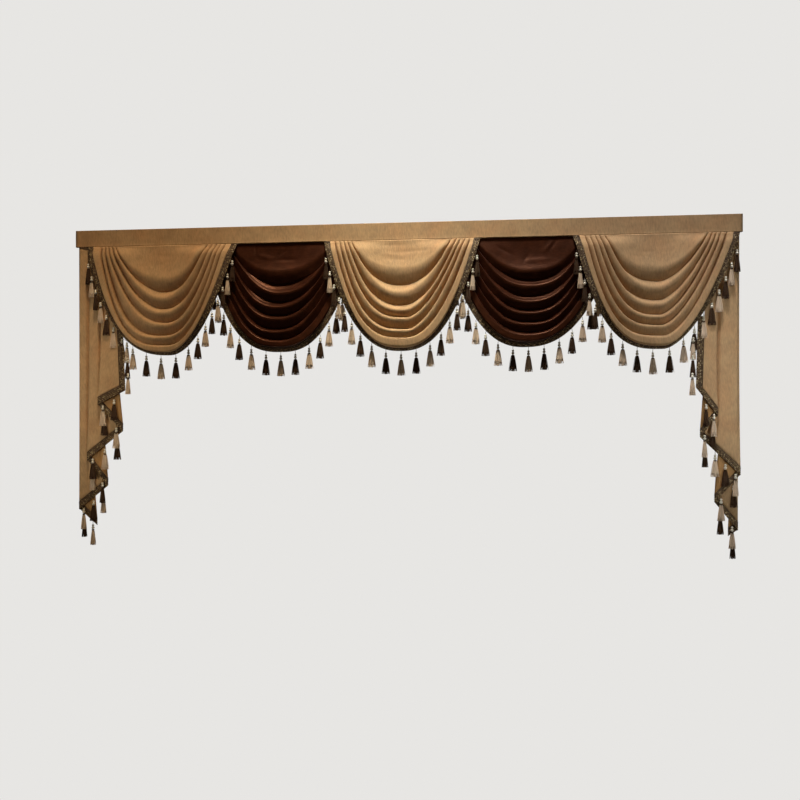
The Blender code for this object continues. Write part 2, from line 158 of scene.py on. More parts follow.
SWAGS = (
    gathered_swag("swag_left", -1.085, FRONT, (
        (-214, 201, 30, 154, 2.36, 2.21), (-227, 222, 10, 248, 1.75, 2.15),
        (-245, 243, 18, 316, 2.00, 2.35), (-261, 265, 30, 373, 2.35, 2.25),
        (-276, 283, 18, 431, 3.10, 2.50), (-296, 306, 42, 474, 3.34, 2.18),
        (-331, 332, 46, 489, 2.85, 1.95)), (
        (20, -50, 170, 7, 1.2, -3), (-35, -95, 150, 8, 1.2, 4))),
    gathered_swag("swag_middle", 0.026, FRONT, (
        (-217, 207, 5, 129, 2.90, 2.40), (-230, 228, 0, 241, 2.20, 2.05), (-247, 250, 16, 320, 2.70, 1.85),
        (-264, 269, 26, 360, 3.05, 1.75), (-284, 288, 30, 414, 3.35, 1.75),
        (-306, 312, 22, 450, 3.20, 2.10), (-325, 326, 0, 478, 2.60, 2.50)), (
        (-40, -24, 170, 6, 1.6, 2), (45, -54, 220, 7, 2, 3), (-50, -66, 120, 6, -1.2, -4),
        (-15, -91, 180, 8, 2, -2))),
    gathered_swag("swag_right", 1.136, FRONT, (
        (-205, 208, 12, 147, 3.20, 1.80), (-221, 224, 3, 237, 2.75, 1.65), (-244, 243, 6, 312, 2.95, 1.60),
        (-262, 259, 10, 367, 3.10, 1.58), (-284, 277, 19, 408, 3.50, 1.58),
        (-306, 304, 26, 457, 3.60, 1.60), (-328, 327, 28, 481, 3.25, 1.62)), (
        (-40, -80, 130, 6, 1.4, 4), (-60, -100, 110, 6, 1.4, -3), (60, -45, 130, 8, 1, 6))),
    gathered_swag("dark_swag_left", -0.525, BACK, (
        (-237, 243, -12, 132, 2.20, 2.20), (-250, 254, -12, 229, 1.90, 2.50),
        (-264, 268, -4, 293, 2.45, 2.20), (-280, 283, -8, 346, 2.55, 2.30),
        (-300, 301, -12, 407, 2.60, 2.35), (-322, 322, 0, 453, 2.65, 2.30),
        (-338, 338, -2, 478, 2.75, 2.55)), (
        (-117, -30, 70, 5, 2.2, 85), (8, -44, 80, 5, 2.6, 42), (20, -78, 150, 6, 2.4, 0),
        (-70, -64, 120, 8, -2, -14))),
    gathered_swag("dark_swag_right", 0.598, BACK, (
        (-247, 229, -22, 148, 1.85, 2.90), (-260, 250, -10, 216, 2.15, 2.70),
        (-282, 270, -6, 286, 2.20, 2.50), (-298, 288, -6, 337, 2.40, 2.50), (-316, 308, 4, 387, 2.65, 2.40),
        (-336, 333, -10, 434, 2.50, 2.45), (-362, 360, -20, 466, 2.45, 2.45)), (
        (78, -44, 90, 6, -2.6, 49), (100, -36, 80, 5, 2.2, 55), (-18, -92, 70, 5, 2.4, 56),
        (30, -104, 180, 8, -2, 4), (-110, -60, 120, 7, 1.8, -28))),
)

# A tail is one cloth pleated to and fro. Each row is an edge or a turn of the zigzag: its distance from
# the middle of the band at the top and at the hem, its length, and how far the cloth stands into the
# room as it comes and as it leaves, at the top and at the hem.
Turn = namedtuple("Turn", "x_top x_hem drop come_top leave_top come_hem leave_hem")
Tail = namedtuple("Tail", "name side turns")
TAILS = tuple(Tail(name, side, [Turn(*metres(turn)) for turn in turns]) for name, side, turns in (
    ("tail_left", -1, (
        (1315, 1267, 650, 7.6, 7.6, 52, 52),
        (1377, 1373, 703, 7.6, 4.7, 54, 44),
        (1350, 1259, 822, 4.7, 1.8, 43, 34),
        (1437, 1434, 958, 7.6, 4.7, 36, 26),
        (1412, 1340, 1075, 4.7, 1.8, 25, 16),
        (1487, 1482, 1188, 7.6, 4.7, 18, 8),
        (1466, 1398, 1262, 4.7, 4.7, 7, 7))),
    ("tail_right", 1, (
        (1350, 1318, 672, 7.6, 7.6, 53, 53),
        (1405, 1382, 758, 7.6, 4.7, 54, 44),
        (1382, 1314, 848, 4.7, 1.8, 43, 34),
        (1487, 1482, 1012, 8, 6, 36, 26),
        (1465, 1380, 1128, 6, 4, 25, 16),
        (1487, 1478, 1250, 4, 2, 18, 8),
        (1470, 1440, 1276, 2, 2, 7, 7)))))


# ---- node trees ----
def math_method(operation, turned=False):
    """A Wire's method that adds one Math node, turned round in a reflected one."""
    return lambda self, other: self.tree.math(operation, *((other, self) if turned else (self, other)))


class Wire:
    """A node's output. Sums with wires add Math nodes."""

    def __init__(self, tree, socket):
        self.tree = tree
        self.socket = socket

    def beside(self, name):
        """Another output of the same node."""
        return Wire(self.tree, self.socket.node.outputs[name])

    __add__ = __radd__ = math_method("ADD")
    __mul__ = __rmul__ = math_method("MULTIPLY")
    __sub__ = math_method("SUBTRACT")
    __rsub__ = math_method("SUBTRACT", turned=True)
    __truediv__ = math_method("DIVIDE")
    __rtruediv__ = math_method("DIVIDE", turned=True)
    __pow__ = math_method("POWER")


class Tree:
    """A node tree written as Python calls."""

    family = "ShaderNode"  # goes before a node's kind, unless that says Node itself

    def __init__(self, tree):
        self.tree = tree

    def node(self, kind, *values, at=(), output=0, stops=(), **named):
        """Add a node: its settings, which start in lower case, then its sockets.

        These follow in order, at numbers or by name, with _ for a space.
        """
        made = self.tree.nodes.new(kind if "Node" in kind else self.family + kind)
        sockets = dict(enumerate(values)) | dict(at)
        for name, value in named.items():
            if name[0].isupper():
                sockets[name.replace("_", " ")] = value
            else:
                setattr(made, name, value)
        for index, (place, color) in enumerate(stops):
            ramp = made.color_ramp.elements
            stop = ramp[index] if index < len(ramp) else ramp.new(place)
            stop.position = place
            stop.color = color
        for key, value in sockets.items():
            self.feed(made.inputs[key], value)
        return Wire(self, made.outputs[output] if made.outputs else None)

    def feed(self, socket, value):
        """Link a wire to a socket, or set the socket's own value."""
        if isinstance(value, Wire):
            self.tree.links.new(value.socket, socket)
        else:
            socket.default_value = value

    def math(self, operation, *values):
        """One Math node."""
        return self.node("ShaderNodeMath", *values, operation=operation)

    def mix(self, factor, first, second, blend="MIX"):
        """A colour between two others, or both blended."""
        return self.node("Mix", factor, at={6: first, 7: second}, output=2, data_type="RGBA",
                         blend_type=blend)


class Finish(Tree):
    """A material with one Principled shader, patterned on UV or Object coordinates."""

    def __init__(self, name, coordinates=None, **sockets):
        self.material = bpy.data.materials.new(name)
        self.material.use_nodes = True
        super().__init__(self.material.node_tree)
        self.shader = self.tree.nodes["Principled BSDF"]
        if coordinates:
            self.place = self.node("TexCoord", output=coordinates)
        self.set(**sockets)

    def set(self, **sockets):
        """Feed the shader's sockets and give the material."""
        for name, value in sockets.items():
            self.feed(self.shader.inputs[name.replace("_", " ")], value)
        return self.material

    def mark(self, name):
        """A number kept on the mesh's points."""
        return self.node("Attribute", output="Fac", attribute_name=name)

    def noise(self, scale=1.0, detail=2.0, roughness=0.5, stretch=None, turn=0.0):
        """Noise from 0 to 1, stretched and turned."""
        place = self.place
        if stretch:
            place = self.node("Mapping", Vector=place, Scale=stretch, Rotation=(0.0, 0.0, turn))
        return self.node("TexNoise", Vector=place, Scale=scale, Detail=detail, Roughness=roughness)

    def bump(self, height, distance):
        """A normal from a height between 0 and 1."""
        return self.node("Bump", Height=height, Distance=distance, Strength=1.0)


class Grower(Tree):
    """A geometry tree that grows shapes on loose points."""

    family = "GeometryNode"
    KINDS = {float: "NodeSocketFloat", int: "NodeSocketInt", bpy.types.Material: "NodeSocketMaterial",
             type(None): "NodeSocketObject"}

    def __init__(self, name, **inputs):
        super().__init__(bpy.data.node_groups.new(name, "GeometryNodeTree"))
        sockets = self.tree.interface
        sockets.new_socket("Geometry", in_out="INPUT", socket_type="NodeSocketGeometry")
        for key, value in inputs.items():
            sockets.new_socket(key.replace("_", " "), in_out="INPUT", socket_type=self.KINDS[type(value)])
        sockets.new_socket("Geometry", in_out="OUTPUT", socket_type="NodeSocketGeometry")
        self.inputs = inputs
        self.entry = self.node("NodeGroupInput")
        self.given = self.entry.beside

    def mark(self, name, kind="FLOAT"):
        """A value kept on the points."""
        return self.node("InputNamedAttribute", Name=name, data_type=kind)

    def vector(self, x, y, z):
        """A vector from three numbers."""
        return self.node("ShaderNodeCombineXYZ", x, y, z)

    def random(self, low, high, seed, index):
        """A random number for each element."""
        return self.node("FunctionNodeRandomValue", at={2: low, 3: high}, Seed=seed, ID=index, output=1,
                         data_type="FLOAT")

    def placed(self, points, shape, turn=(0.0, 0.0, 0.0), scale=(1.0, 1.0, 1.0)):
        """The shape at every point."""
        return self.node("InstanceOnPoints", Points=points, Instance=shape, Rotation=turn, Scale=scale)

    def lowered(self, shape, level):
        """A shape moved down."""
        return self.node("Transform", Geometry=shape, Translation=self.vector(0.0, 0.0, 0.0 - level))

    def tube(self, curve, sides, radius):
        """A round, closed tube along a curve."""
        section = self.node("CurvePrimitiveCircle", Resolution=sides, Radius=radius)
        return self.node("CurveToMesh", Curve=curve, Profile_Curve=section, Fill_Caps=True)

    def joined(self, *shapes):
        """Several shapes in one."""
        join = self.node("JoinGeometry")
        for shape in shapes:
            self.tree.links.new(shape.socket, join.socket.node.inputs[0])
        return join

    def end(self, shape, material):
        """Make it all real and smooth, in this input's material."""
        real = self.node("RealizeInstances", Geometry=shape)
        smooth = self.node("SetShadeSmooth", Geometry=real)
        done = self.node("SetMaterial", Geometry=smooth, Material=self.given(material))
        self.node("NodeGroupOutput", done)
        return self

    def grow(self, name, points, marks, edges=(), **changes):
        """The plain mesh that the tree makes of points, with their values, and edges."""
        given = self.inputs | changes
        seeds = bpy.data.meshes.new(name)
        seeds.from_pydata(np.reshape(points, (-1, 3)).tolist(), edges, [])
        for key, values in marks.items():
            keep(seeds, key, values)
        item = new_object(name, seeds)
        growth = item.modifiers.new("growth", "NODES")
        growth.node_group = self.tree
        for socket in self.tree.interface.items_tree:
            key = socket.name.replace(" ", "_")
            if socket.in_out == "INPUT" and key in given:
                growth[socket.identifier] = given[key]
        bpy.context.view_layer.update()
        grown = item.evaluated_get(bpy.context.evaluated_depsgraph_get())
        mesh = bpy.data.meshes.new_from_object(grown)
        item.modifiers.remove(growth)
        item.data = mesh
        mesh.name = name
        bpy.data.meshes.remove(seeds)
        return item


# ---- meshes ----
def new_object(name, data):
    """An object in the scene."""
    item = bpy.data.objects.new(name, data)
    bpy.context.scene.collection.objects.link(item)
    return item


def new_mesh(name, points, faces, finishes):
    """A smooth mesh in its finishes."""
    mesh = bpy.data.meshes.new(name)
    mesh.from_pydata(np.reshape(points, (-1, 3)).tolist(), [], faces)
    mesh.shade_smooth()
    for finish in finishes:
        mesh.materials.append(finish)
    return mesh


def keep(mesh, name, values):
    """Keep a value on each of a mesh's points."""
    kind, field = ("FLOAT", "value") if np.ndim(values) == 1 else ("FLOAT_VECTOR", "vector")
    mesh.attributes.new(name, kind, "POINT").data.foreach_set(field, np.ravel(values))


def shares(count):
    """Equal steps from 0 to 1."""
    return np.linspace(0.0, 1.0, count + 1)


def between(rows, places, wanted):
    """Rows that stand at these places, read at any others."""
    return np.stack([np.interp(wanted, places, column) for column in rows.T], axis=-1)


def unit(vectors):
    """Vectors scaled to length one."""
    return vectors / np.linalg.norm(vectors, axis=-1, keepdims=True)


def soften(points):
    """Round the corners between rows, but not the first and last."""
    points = points.copy()
    points[1:-1] = (points[:-2] + 2 * points[1:-1] + points[2:]) / 4
    return points


def run_along(points, axis):
    """How far each point lies along its line of points."""
    steps = np.linalg.norm(np.diff(points, axis=axis), axis=-1)
    return np.concatenate((np.zeros_like(steps.take([0], axis)), np.cumsum(steps, axis)), axis)


def cloth_mesh(name, grid, finishes):
    """A cloth through a grid of points, with its flat place as its UV map."""
    corner = np.arange(grid[:, :, 0].size).reshape(grid.shape[:2])
    faces = np.stack((corner[:-1, :-1], corner[1:, :-1], corner[1:, 1:], corner[:-1, 1:]), axis=-1)
    mesh = new_mesh(name, grid, faces.reshape(-1, 4).tolist(), finishes)
    across = run_along(grid, 1)
    across = across - across[:, -1:] / 2
    flat = np.stack((across, -run_along(grid, 0)), axis=-1).reshape(-1, 2)
    mesh.uv_layers.new(name="cloth").data.foreach_set("uv", flat[faces.ravel()].ravel())
    return mesh


def swept_mesh(name, rings, finish):
    """A closed strip through rings of points, with capped ends."""
    corner = np.arange(rings[:, :, 0].size).reshape(rings.shape[:2])
    after = np.roll(corner, -1, axis=1)
    walls = np.stack((corner[:-1], after[:-1], after[1:], corner[1:]), axis=-1).reshape(-1, 4).tolist()
    return new_mesh(name, rings, walls + [corner[0, ::-1].tolist(), corner[-1].tolist()], [finish])


# ---- swags ----
def fold_at(swag, place):
    """The fold at any place from the top edge, 0, to the hem."""
    first = swag.folds[0]
    top = first._replace(left=first.left + TOP_INSET, right=first.right - TOP_INSET, drop=0.0,
                         reach=swag.layer.seam, tuck=SEAM_TUCK)
    table = np.array([top] + swag.folds)
    return Fold(*between(table, range(len(table)), place))


def hanging_curve(fold, share):
    """x and z at these shares of a fold's length."""
    side = np.linspace(-1.0, 1.0, CURVE_SAMPLES + 1)
    span = np.where(side < 0, fold.low - fold.left, fold.right - fold.low)
    full = np.where(side < 0, fold.full_left, fold.full_right)
    curve = np.stack((fold.low + side * span, -fold.drop * (1 - np.abs(side) ** full)), axis=1)
    length = run_along(curve, 0)
    return between(curve, length, share * length[-1]).T


def stance(layer, z):
    """How clear each point of a row is of the crowded seam, and how near the middle it is."""
    clear = 1 - np.exp(-(z / layer.rise) ** 2)
    middle = np.sin(pi * shares(len(z) - 1)) ** layer.bulge
    return clear, middle


def fold_rows(layer):
    """Every row from the top edge to the last crest: its place and depth, then both for its sides.

    The place counts folds, and the depth is a share of the tuck.
    """
    rows = [(place, 0.0, place, 0.0) for place in shares(PANEL_ROWS)]
    slope = ROLL_DEPTH / (1 - ROLL / 2)
    for crest, ledge in enumerate(layer.ledges, 1):
        edge, side_edge = crest + 1 - ledge, crest + 1 - SIDE_LEDGE
        crease = edge - ledge * UNDERCUT
        rows += [(crest + (1 - ledge) * down,
                  slope * (down - ROLL / 2 if down > ROLL else down ** 2 / (2 * ROLL)),
                  crest + (1 - SIDE_LEDGE) * down, SIDE_DEPTH * down ** layer.side_roll)
                 for down in shares(ROLL_ROWS)[1:]]
        rows += [(edge + (crease - edge) * back ** 2, ROLL_DEPTH + (1 - ROLL_DEPTH) * back,
                  side_edge, SIDE_DEPTH + (1 - SIDE_DEPTH) * back) for back in shares(CREASE_ROWS)[1:]]
        rows += [(crease + (crest + 1 - crease) * forward, (1 - forward ** layer.cup) ** layer.lip,
                  side_edge + SIDE_LEDGE * forward, (1 - forward) ** SIDE_LIP)
                 for forward in shares(LEDGE_ROWS)[1:]]
    return rows


def unevenness(swag, place, x):
    """How much deeper than usual the tuck is along a fold."""
    own = FOLD_SHIFT * ceil(place) + SWAG_SHIFT * swag.centre
    return 1 + UNEVEN * sum(share * np.sin(turns * x + own * turns) for turns, share in UNEVEN_WAVES)


def level_share(line):
    """How level a row is at each point."""
    along = np.gradient(line, axis=0)
    level = np.abs(along[:, 0]) / np.linalg.norm(along[:, (0, 2)], axis=1)
    share = np.clip((level - STEEP) / (LEVEL - STEEP), 0.0, 1.0)
    return share * share * (3 - 2 * share)


def crest_line(swag, place, reach_place, steps):
    """Points along one crest, and how near the middle each one is."""
    layer = swag.layer
    x, z = hanging_curve(fold_at(swag, place), shares(steps))
    clear, middle = stance(layer, z)
    side = layer.side - layer.lean * z
    reach = fold_at(swag, reach_place).reach
    crest = layer.seam + clear * (side * (1 - middle) + reach * middle - layer.seam)
    return np.stack((x + swag.centre, -crest, z + TOP), axis=1), middle


def swag_row(swag, place, depth, side_place, side_depth, steps=SWAG_COLUMNS):
    """One row of the swag's cloth, from its left end to its right end."""
    layer = swag.layer
    inner, middle = crest_line(swag, place, place ** layer.panel if place < 1 else place, steps)
    outer, _ = crest_line(swag, side_place, side_place, steps)
    level = level_share(outer)
    row = outer + (inner - outer) * level[:, None]
    gathered = 1 - np.exp(-((row[:, 2] - TOP) / layer.rise / GATHERING) ** 2)
    tuck = (fold_at(swag, place).tuck * layer.deeper * middle
            + layer.side_tuck * layer.side_deeper * (1 - middle))
    tuck *= gathered * unevenness(swag, place, row[:, 0] - swag.centre)
    row[:, 1] += tuck * (side_depth + (depth - side_depth) * level) + SEAM_TUCK * side_depth * (1 - gathered)
    return row


def hem_frame(swag, hem, deepest, sharpness):
    """The way outwards, level with the wall, and the backward tilt along a hem."""
    chords = np.vstack((hem[1] - hem[0], hem[2:] - hem[:-2], hem[-1] - hem[-2]))
    outward = unit(np.stack((chords[:, 2], np.zeros(len(hem)), -chords[:, 0]), axis=1))
    outward[0] = (-1.0, 0.0, 0.0)
    outward[-1] = (1.0, 0.0, 0.0)
    clear, middle = stance(swag.layer, hem[:, 2] - hem[0, 2])
    tilt = np.radians(SIDE_TILT * clear + (deepest - SIDE_TILT) * middle ** sharpness)
    return outward, tilt[:, None]


def swag_hem(swag, steps):
    """The last crest, the hem under it, and how far back that is."""
    last = len(swag.folds)
    crest, hem = (swag_row(swag, place, 0.0, place, 0.0, steps) for place in (last - 1, last))
    outward, tilt = hem_frame(swag, hem, MIDDLE_TILT, TILT_SHARPNESS)
    back = np.sum((hem - crest) * outward, axis=1, keepdims=True) * np.tan(tilt) * TO_WALL
    _, middle = stance(swag.layer, hem[:, 2] - hem[0, 2])
    return crest, hem + outward * (swag.layer.hem_drop * middle ** 2)[:, None], back


def pressed(crease, x, z):
    """How far back a crease presses the cloth at each point."""
    turn = radians(crease.turn)
    right, up = x - crease.x, z - crease.z
    along = right * cos(turn) + up * sin(turn)
    across = up * cos(turn) - right * sin(turn)
    taper = np.clip(1 - (2 * along / crease.length) ** 2, 0.0, 1.0) ** 2
    return crease.depth * taper * np.exp(-(across / crease.width) ** 2)


def swag_grid(swag):
    """All rows of the swag's cloth."""
    rows = [swag_row(swag, *row) for row in fold_rows(swag.layer)]
    crest, hem, back = swag_hem(swag, SWAG_COLUMNS)
    for part in shares(HEM_ROWS)[1:]:
        down = 1 - (1 - part) ** HEM_CROWDING
        rows.append(crest + (hem - crest) * down + back * down ** HEM_ROUNDING)
    grid = np.array(rows)
    for crease in swag.creases:
        grid[:, :, 1] += pressed(crease, grid[:, :, 0] - swag.centre, grid[:, :, 2] - TOP)
    return soften(grid)


def painted_shade_in_folds(grid):
    """The painted shade at each point: how deep in a fold it lies, from 0 to 1, and less at the middle."""
    out = grid[:, :, 1]
    above, below = np.full_like(out, np.inf), np.full_like(out, np.inf)
    for step in range(1, CREVICE_REACH + 1):
        above[step:] = np.minimum(above[step:], out[:-step])
        below[:-step] = np.minimum(below[:-step], out[step:])
    depth = np.nan_to_num((out - np.maximum(above, below)) / CREVICE_DEPTH, neginf=0.0)
    side = 1 - CREVICE_MIDDLE * np.sin(pi * shares(out.shape[1] - 1))
    return np.clip(depth, 0.0, 1.0) * side


def swag_stops(swag):
    """Hem points between a swag's tassels, and the braid's way from them."""
    _, hem, back = swag_hem(swag, TASSEL_STEPS)
    hem = hem + back
    outward, tilt = hem_frame(swag, hem, swag.layer.braid_tilt, swag.layer.braid_bend)
    outward = outward * np.cos(tilt) + TO_WALL * np.sin(tilt)
    hem[[0, -1], 2] -= BRAID_END_DROP
    return hem, outward


# ---- tails ----
def tail_columns(tail, pitch):
    """Columns about this far apart, and which of them lie inside a face: the others end one.

    Each has its x at the top and at the hem, its length, and how far out it stands at both.
    """
    columns, inside = [], []
    for turn, after in zip(tail.turns, tail.turns[1:]):
        count = round(hypot(after.x_hem - turn.x_hem, after.drop - turn.drop) / pitch)
        start = np.array((turn.x_top, turn.x_hem, turn.drop, turn.leave_top, turn.leave_hem))
        end = np.array((after.x_top, after.x_hem, after.drop, after.come_top, after.come_hem))
        for part in (0.0, *((np.arange(count) + 0.5) / count), 1.0):
            swing = min(max((part - FACE_START) / (1 - 2 * FACE_START), 0.0), 1.0)
            columns.append(start + (end - start) * np.array((part, part, part, swing, part)))
            inside.append(0.0 < part < 1.0)
    return np.array(columns), np.array(inside)


def tail_rows(tail, columns):
    """A tail's rows, from the band to its slanting hem."""
    x_top, x_hem, drop, out_top, out_hem = columns.T
    rows = []
    for down in shares(TAIL_ROWS):
        flare = EVEN_FLARE * down + (1 - EVEN_FLARE) * down ** TAIL_FLARE
        clear = (1 - np.exp(-(drop * down / PLEAT_RISE) ** 2)) * (1 - down ** PLEAT_END)
        x = x_top + (x_hem - x_top) * down
        gaps = [x - edge.x_top - (edge.x_hem - edge.x_top) * down for edge in tail.turns[1::2]]
        swell = np.prod([1 - np.exp(-(gap / PLEAT_ROUNDING) ** 2) for gap in gaps], axis=0)
        out = out_top + (out_hem - out_top) * flare + PLEAT_LIFT * clear * swell
        rows.append(np.stack((tail.side * x, -out, TOP - drop * down), axis=1))
    return np.array(rows)


def tail_grid(tail):
    """A tail's cloth, rounded at every turn."""
    columns, _ = tail_columns(tail, FACE_STEP)
    return soften(tail_rows(tail, columns).swapaxes(0, 1)).swapaxes(0, 1)


# ---- braid ----
BRAID_LIP = 0.0015  # the braid is sewn this far over the cloth's edge,
LIP_THICKNESS = 1.6  # and is this much thicker there
TAPE_THICKNESS = 0.0016
TAPE_STEP = 0.004
PLAIT_LANES = 4
PLAIT_PITCH = 0.0046
PLAIT_SLANT = radians(38.0)  # between a stitch and the hem


class Trim:
    """A hem's points, and the braid's way from each."""

    def __init__(self, points, outward):
        self.points = points
        self.outward = outward
        self.middle = points + outward * (BRAID_GAP + BRAID_WIDTH / 2)
        self.run = run_along(self.middle, 0)
        self.length = self.run[-1]

    def at(self, places):
        """Hem points at these lengths, and the ways outwards, along and out of the braid's face."""
        ahead = np.clip(places + TAPE_STEP / 2, 0.0, self.length)
        behind = np.clip(places - TAPE_STEP / 2, 0.0, self.length)
        along = unit(between(self.middle, self.run, ahead) - between(self.middle, self.run, behind))
        outward = between(self.outward, self.run, places)
        return between(self.points, self.run, places), outward, along, unit(np.cross(along, outward))


def swag_trim(swag):
    """The path of a swag's braid."""
    _, outward = swag_stops(swag)
    points = swag_grid(swag)[-1]
    points[[0, -1], 2] -= BRAID_END_DROP
    return Trim(points, between(outward, shares(TASSEL_STEPS), shares(SWAG_COLUMNS)))


def tail_trim(tail):
    """The path of a tail's braid, down its inner edge and along its hem."""
    grid = tail_grid(tail)
    edge, hem = grid[:, 0], grid[-1]
    upper = edge[edge[:, 2] < EDGE_TOP]
    ahead, _, up = hem[CORNER_COLUMNS] - hem[0]
    slope = up / abs(ahead)
    points = np.vstack((between(edge, -edge[:, 2], -EDGE_TOP), upper, hem[1:]))
    outward = np.tile((0.0, 0.0, -TAIL_BRAID_DEPTH), (len(points), 1))
    outward[:len(upper)] = (-tail.side, 0.0, 0.0)
    outward[len(upper)] = (-tail.side, 0.0, -TAIL_BRAID_DEPTH - slope)
    return Trim(points, outward)


def tape_rings(trim):
    """Sections of the flat tape under the plait."""
    steps = round(trim.length / TAPE_STEP)
    points, outward, _, normal = trim.at(np.linspace(0.0, trim.length, steps + 1))
    half = TAPE_THICKNESS / 2
    outer = BRAID_GAP + BRAID_WIDTH - half
    section = ((-BRAID_LIP, LIP_THICKNESS), (outer / 2, 1.0), (outer, 1.0), (outer + half, 0.0),
               (outer, -1.0), (outer / 2, -1.0), (-BRAID_LIP, -LIP_THICKNESS))
    return np.stack([points + outward * out + normal * half * side for out, side in section], axis=1)


def plait_places(trim):
    """The place and turn of every stitch of the plait."""
    count = int(trim.length / PLAIT_PITCH)
    points, turns = [], []
    for lane in range(PLAIT_LANES):
        lean = 1.0 if lane % 2 else -1.0
        places = (np.arange(count) + 0.5 + 0.5 * (lane // 2)) / count * (trim.length - PLAIT_PITCH)
        hem, outward, along, normal = trim.at(places)
        across = np.cross(normal, along)
        forward = along * cos(PLAIT_SLANT) + across * sin(PLAIT_SLANT) * lean
        points.append(hem + outward * (BRAID_GAP + BRAID_WIDTH * (lane + 0.5) / PLAIT_LANES))
        frames = np.stack((forward, np.cross(normal, forward), normal), axis=2)
        turns += [tuple(Matrix(axes.tolist()).to_euler()) for axes in frames]
    return np.vstack(points), np.array(turns)


# ---- tassels ----
# Where a tassel's cord leaves the braid, where it hangs, how wide its skirt is, and 1 for a pale one.
Tassel = namedtuple("Tassel", "root start width pale")
CORD_DROPS = (0.006, 0.012, 0.026, 0.040)  # points of a cord, measured down from where it hangs
GOLDEN_ANGLE = pi * (3 - sqrt(5))
ANGLE_SPREAD = 0.2  # a strand strays by this from its even angle,
INNERMOST = 0.45  # comes down at this share of the skirt's width or more,
SHORTEST, LONGEST = 0.97, 1.01  # and has a length of its own
SHOULDER, SHOULDER_LEVEL = 0.60, 0.4  # the skirt's shoulder, as shares of its spread and length
BELL_TOP = 0.42  # how wide its core is at the top


def hung(point, outward, room, order, aside=(0.0, 0.0, 0.0)):
    """One tassel on a braid. Dark and pale ones take turns."""
    root = point + outward * (BRAID_GAP + BRAID_WIDTH)
    start = root + outward * (1, 1, 0) * CORD_STAND_OFF + aside
    width = np.clip(2 * SKIRT_SHARE * room - SKIRT_CLEARANCE, SKIRT_NARROWEST, SKIRT_WIDEST)
    return Tassel(root, start, width, float(order % 2))


def swag_tassels(swag):
    """Every tassel of a swag."""
    hem, outward = swag_stops(swag)
    return [hung(hem[index], outward[index], abs(hem[index + 1][0] - hem[index - 1][0]) / 2, index - 1)
            for index in range(1, TASSEL_STEPS)]


def tail_tassels(tail):
    """Every tassel of a tail."""
    columns, inside = tail_columns(tail, TASSEL_PITCH)
    rows = tail_rows(tail, columns)
    edge, hem = rows[:, 0], rows[-1]
    sideways, down = np.array((-tail.side, 0.0, 0.0)), np.array((0.0, 0.0, -TAIL_BRAID_DEPTH))
    tassels = []
    for order, level in enumerate(np.linspace(EDGE_TOP, hem[0][2], EDGE_TASSELS + 1, endpoint=False)[1:]):
        aside = sideways * EDGE_OUT - TO_WALL * EDGE_FORWARD * order
        point = between(edge, -edge[:, 2], -level)
        tassels.append(hung(point, sideways, EDGE_ROOM, order + 1, aside))
    for index in np.flatnonzero(inside):
        room = abs(hem[index + 1][0] - hem[index - 1][0]) * TAIL_ROOM
        tassels.append(hung(hem[index], down, room, len(tassels) + 1))
    return tassels


def skirt_grower(yarn):
    """A tree that hangs a skirt of yarn under every point."""
    tree = Grower("yarn_skirts", Strands=54, Neck=0.0072, Neck_level=0.0400, Length=0.0700,
                  Widest=SKIRT_WIDEST / 2, Depth=0.0080, Strand=0.0010, Fuller=0.8, Core=0.86, Seed=7,
                  Yarn=yarn)
    deep, seed, length, neck, widest, core = (
        tree.given(name) for name in ("Depth", "Seed", "Length", "Neck", "Widest", "Core"))
    wide = tree.mark("flare")
    lowered = tree.node("SetPosition", Geometry=tree.entry,
                        Offset=tree.vector(0.0, 0.0, 0.0 - tree.given("Neck level")))
    copies = tree.node("DuplicateElements", Geometry=lowered, Amount=tree.given("Strands"), domain="POINT")
    index = tree.node("InputIndex")
    stray = tree.random(-ANGLE_SPREAD, ANGLE_SPREAD, seed, index)
    angle = copies.beside("Duplicate Index") * GOLDEN_ANGLE + stray
    spread = tree.random(INNERMOST, 1.0, seed + 1, index) ** 0.5
    reach = 1.0 / (((tree.math("COSINE", angle) / wide) ** 2.0
                    + (tree.math("SINE", angle) / deep) ** 2.0) ** 0.5)
    size = tree.vector(spread * reach / widest, 1.0, tree.random(SHORTEST, LONGEST, seed + 2, index))
    line = tree.node("CurveQuadraticBezier", Resolution=5, Start=tree.vector(neck, 0.0, 0.0),
                     Middle=tree.vector(neck + (widest - neck) * SHOULDER, 0.0, length * -SHOULDER_LEVEL),
                     End=tree.vector(widest, 0.0, length * -1.0))
    down = tree.node("SplineParameter")
    fuller = tree.node("SetCurveRadius", Curve=line, Radius=1.0 + down * tree.given("Fuller"))
    strand = tree.tube(fuller, 3, tree.given("Strand"))
    turn = tree.node("FunctionNodeEulerToRotation", tree.vector(0.0, 0.0, angle))
    strands = tree.placed(copies, strand, turn, size)
    bell = tree.node("MeshCone", Vertices=14, Side_Segments=5, Radius_Top=BELL_TOP, Radius_Bottom=1.0,
                     Depth=1.0)
    bells = tree.placed(lowered, tree.node("Transform", Geometry=bell, Translation=(0.0, 0.0, -1.0)),
                        scale=tree.vector(wide * core, deep * core, length * core))
    return tree.end(tree.joined(strands, bells), "Yarn")


def bead_grower(gilt):
    """A tree that strings two beads under every point."""
    tree = Grower("beads", Upper_bead=0.0054, Upper_level=0.0190, Lower_bead=0.0066, Lower_level=0.0300,
                  Gilt=gilt)
    beads = []
    for place in ("Upper", "Lower"):
        ball = tree.node("MeshUVSphere", Segments=12, Rings=7, Radius=tree.given(place + " bead"))
        beads.append(tree.lowered(ball, tree.given(place + " level")))
    return tree.end(tree.placed(tree.entry, tree.joined(*beads)), "Gilt")


